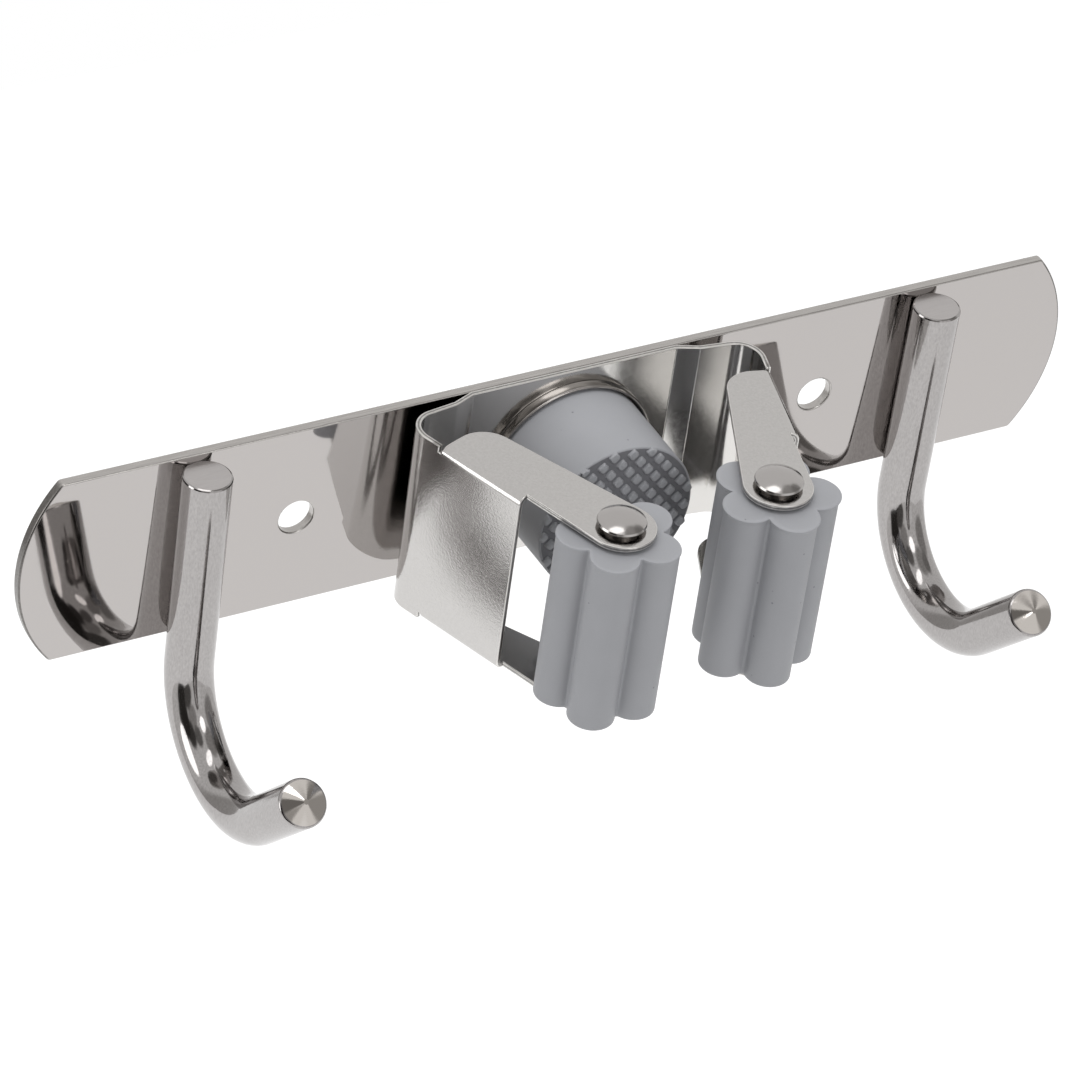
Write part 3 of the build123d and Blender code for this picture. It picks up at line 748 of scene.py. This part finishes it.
profile = [(0, PLUG_FOOT), (PLUG_FOOT_RADIUS - PLUG_FOOT_EDGE, PLUG_FOOT),
           (PLUG_FOOT_RADIUS, PLUG_FOOT + PLUG_FOOT_EDGE)]
profile += arc((PLUG_FACE_RADIUS - PLUG_EDGE, PLUG_FACE - PLUG_EDGE), PLUG_EDGE, 0, 90, 10)
profile += [(0, PLUG_FACE)]
mesh = lathe("stop_plug", profile, STOP_SIDES)
# the face between the studs takes the darker rubber, painted shade for the grooves
for face in mesh.polygons[-STOP_SIDES:]:
    face.material_index = 1
studded = bmesh.new()
studded.from_mesh(mesh)
rows = int(PLUG_FACE_RADIUS / STUD_PITCH) + 1
steps = [(i + 0.5) * STUD_PITCH for i in range(-rows, rows)]
middles = [Vector((x + STUD_SHIFT, y)) for x in steps for y in steps]
for middle in [m for m in middles if m.length < PLUG_FACE_RADIUS + RIM_OVERHANG]:
    inner = middle * min(1, (PLUG_FACE_RADIUS - RIM_INSET) / middle.length)
    layers = []
    for grow, height in STUD_LAYERS:
        limit = PLUG_FACE_RADIUS - RIM_DRAFT * max(0, height + RIM_BELOW)
        room = limit ** 2 - inner.length_squared
        reach = STUD_SIDE / 2 + grow - STUD_CORNER
        ring = []
        for k in range(4):
            pivot = Matrix.Rotation(k * pi / 2, 2) @ Vector((reach, reach))
            for corner in arc(pivot, STUD_CORNER, 90 * k, 90 * k + 90, 30):
                # cut back along its way from the inner point, where that leaves the rim
                way = middle + Vector(corner) - inner
                ahead = inner.dot(way)
                share = ((ahead ** 2 + way.length_squared * room) ** 0.5 - ahead) / way.length_squared
                point = Matrix.Rotation(radians(STUD_TURN), 2) @ (inner + way * min(1, share))
                ring.append(studded.verts.new((point.x * MM, point.y * MM, (PLUG_FACE + height) * MM)))
        layers.append(ring)
    for low, high in zip(layers, layers[1:]):
        for i, corner in enumerate(low):
            studded.faces.new((low[i - 1], corner, high[i], high[i - 1])).smooth = True
    studded.faces.new(layers[0][::-1])
    studded.faces.new(layers[-1]).smooth = True
studded.to_mesh(mesh)
studded.free()
mesh.set_sharp_from_angle(angle=radians(RUBBER_CREASE))
plug = new_piece("studded_stop_plug", mesh, rubber, shaded_groove_rubber)
plug.location = Vector((0, -CUP_FOOT, STOP_HEIGHT)) * MM
plug.rotation_euler.x = pi / 2
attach(plug, "holder")
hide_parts("stop_plug")


# Rollers: five-lobed rubber mouldings that turn on the pins and grip the handle between them. The mould
# left a thin lip of flash round the top.

LOBES, LOBE_RADIUS, LOBE_CIRCLE = 5, 4.4, 7.1
GROOVE_RADIUS = 0.5
ROLLER_BOTTOM, ROLLER_TOP = -18.3, 18.3
BORE_RADIUS = 2.08
ROLLER_EDGE = 0.35
LIP_HEIGHT = 0.5
LIP_PROFILE = (  # share of the flash's reach, and how many lip heights below the top
    (0, 2.5), (0.15, 1.6), (0.7, 1.1), (1, 0.7), (1, 0.35), (0.6, 0.08), (0, 0))
DISH_EDGE, DISH_DEPTH = (0.55, 0.75), 0.06  # the top sinks a little between these steps in from the edge
ROLLER_SIZES = {  # place of the axis, turn of the first lobe in degrees, reach of the flash
    "left": (-14.531, -46.103, 18.0, 0.18),
    "right": (18.337, -45.469, 50.0, 0.38),
}

lobe_step = 360 / LOBES
lobe = Vector((LOBE_CIRCLE, 0))
groove_reach = LOBE_CIRCLE * cos(pi / LOBES)
groove_reach += ((LOBE_RADIUS + GROOVE_RADIUS) ** 2 - (LOBE_CIRCLE * sin(pi / LOBES)) ** 2) ** 0.5
groove = groove_reach * Vector((cos(pi / LOBES), sin(pi / LOBES)))
lobe_half = degrees(Vector((1, 0)).angle(groove - lobe))
dish_z = ROLLER_TOP - DISH_DEPTH
for side, (axis_x, axis_y, turn, lip) in ROLLER_SIZES.items():
    outline = []  # points and the ways out from them
    for k in range(LOBES):
        spin = Matrix.Rotation(radians(turn + lobe_step * k), 2)
        for point in map(Vector, arc(lobe, LOBE_RADIUS, -lobe_half, lobe_half, 5)):
            outline.append((spin @ point, spin @ (point - lobe).normalized()))
        bottom = arc(groove, GROOVE_RADIUS, 180 + lobe_half, 180 + lobe_step - lobe_half, 15)
        for point in map(Vector, bottom[1:-1]):
            outline.append((spin @ point, spin @ (groove - point).normalized()))
    levels = [(ROLLER_EDGE * (cos(a) - 1), ROLLER_BOTTOM + ROLLER_EDGE * (1 - sin(a)))
              for a in (pi / 2, pi / 3, pi / 6, 0)]
    levels += [(share * lip, ROLLER_TOP - below * LIP_HEIGHT) for share, below in LIP_PROFILE]
    levels += [(-DISH_EDGE[0], ROLLER_TOP), (-DISH_EDGE[1], dish_z)]
    bore = [p.normalized() * BORE_RADIUS for p, _ in outline]
    rings = [[(p, ROLLER_BOTTOM) for p in bore]]
    rings += [[(p + out * grow, z) for p, out in outline] for grow, z in levels]
    rings += [[(p, dish_z) for p in bore]]
    points = [Vector((p.x, p.y, z)) * MM for ring in rings for p, z in ring]
    count = len(outline)
    faces = []
    for k in range(len(rings)):
        low, high = k * count, (k + 1) % len(rings) * count
        faces += [(low + i, low + (i + 1) % count, high + (i + 1) % count, high + i) for i in range(count)]
    mesh = bpy.data.meshes.new(side + "_roller")
    mesh.from_pydata(points, [], faces)
    mesh.polygons.foreach_set("use_smooth", [True] * len(faces))
    mesh.set_sharp_from_angle(angle=radians(RUBBER_CREASE))
    roller = new_piece(side + "_lobed_roller", mesh, rubber)
    roller.location = Vector((axis_x, axis_y, 0)) * MM
    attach(roller, side + "_roll")
    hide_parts(side + "_roller")


# Pins: bright rivets, one through each pair of ears and its roller. The domed head stands on a collar
# above the top ear, and the foot is peened over under the bottom one.

PIN_RADIUS, COLLAR_RADIUS, HEAD_RADIUS, PEEN_RADIUS = 2.0, 3.3, 4.55, 3.2
COLLAR_HEIGHT, HEAD_RIM, HEAD_DOME, PEEN_HEIGHT = 0.8, 0.4, 1.5, 1.2
HEAD_EDGE, DOME_START = 0.15, 1.5  # rounding under the rim, and degrees of the dome that its edge takes
PEEN_BEVEL = 0.3
PEEN_SHOULDER = 0.35, 0.6  # shares of the foot's height between which it turns upright
PIN_SIDES = 96

# Nickel-plated steel: a bright mirror with a hint of orange peel.
pin_steel, tree, spot = new_material("nickel_plated_rivet")
peel = noise(tree, spot, 1 / (1.2 * MM), 3.0)
surface(tree, linear("#B1AEAC"), rescale(tree, peel, *MOST, 0.11, 0.24),
        bump(tree, peel, 0.1, 0.15 * MM), METAL)

head_z = CLIP_TOP + COLLAR_HEIGHT
dome_z = head_z + HEAD_RIM + HEAD_DOME
dome_radius = (HEAD_RADIUS ** 2 + HEAD_DOME ** 2) / (2 * HEAD_DOME)
dome_half = degrees(asin(HEAD_RADIUS / dome_radius))
peen_z = CLIP_BOTTOM - PEEN_HEIGHT
profile = [(0, peen_z), (PIN_RADIUS, peen_z),
           (PEEN_RADIUS - PEEN_BEVEL, peen_z + PEEN_HEIGHT * PEEN_SHOULDER[0]),
           (PEEN_RADIUS, peen_z + PEEN_HEIGHT * PEEN_SHOULDER[1]), (PEEN_RADIUS, CLIP_BOTTOM),
           (PIN_RADIUS, CLIP_BOTTOM), (PIN_RADIUS, CLIP_TOP), (COLLAR_RADIUS, CLIP_TOP),
           (COLLAR_RADIUS, head_z), (HEAD_RADIUS - HEAD_EDGE, head_z)]
profile += arc((HEAD_RADIUS - HEAD_EDGE, head_z + HEAD_EDGE), HEAD_EDGE, -60, 0, 20)
profile += arc((0, dome_z - dome_radius), dome_radius, 90 - dome_half + DOME_START, 90, 3)
profile[-1] = (0, dome_z)
for side, (axis_x, axis_y, _, _) in ROLLER_SIZES.items():
    pin = new_piece(side + "_rivet_pin", lathe(side + "_pin", profile, PIN_SIDES), pin_steel)
    pin.location = Vector((axis_x, axis_y, 0)) * MM
    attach(pin, side + "_jaw")
    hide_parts(side + "_pin")
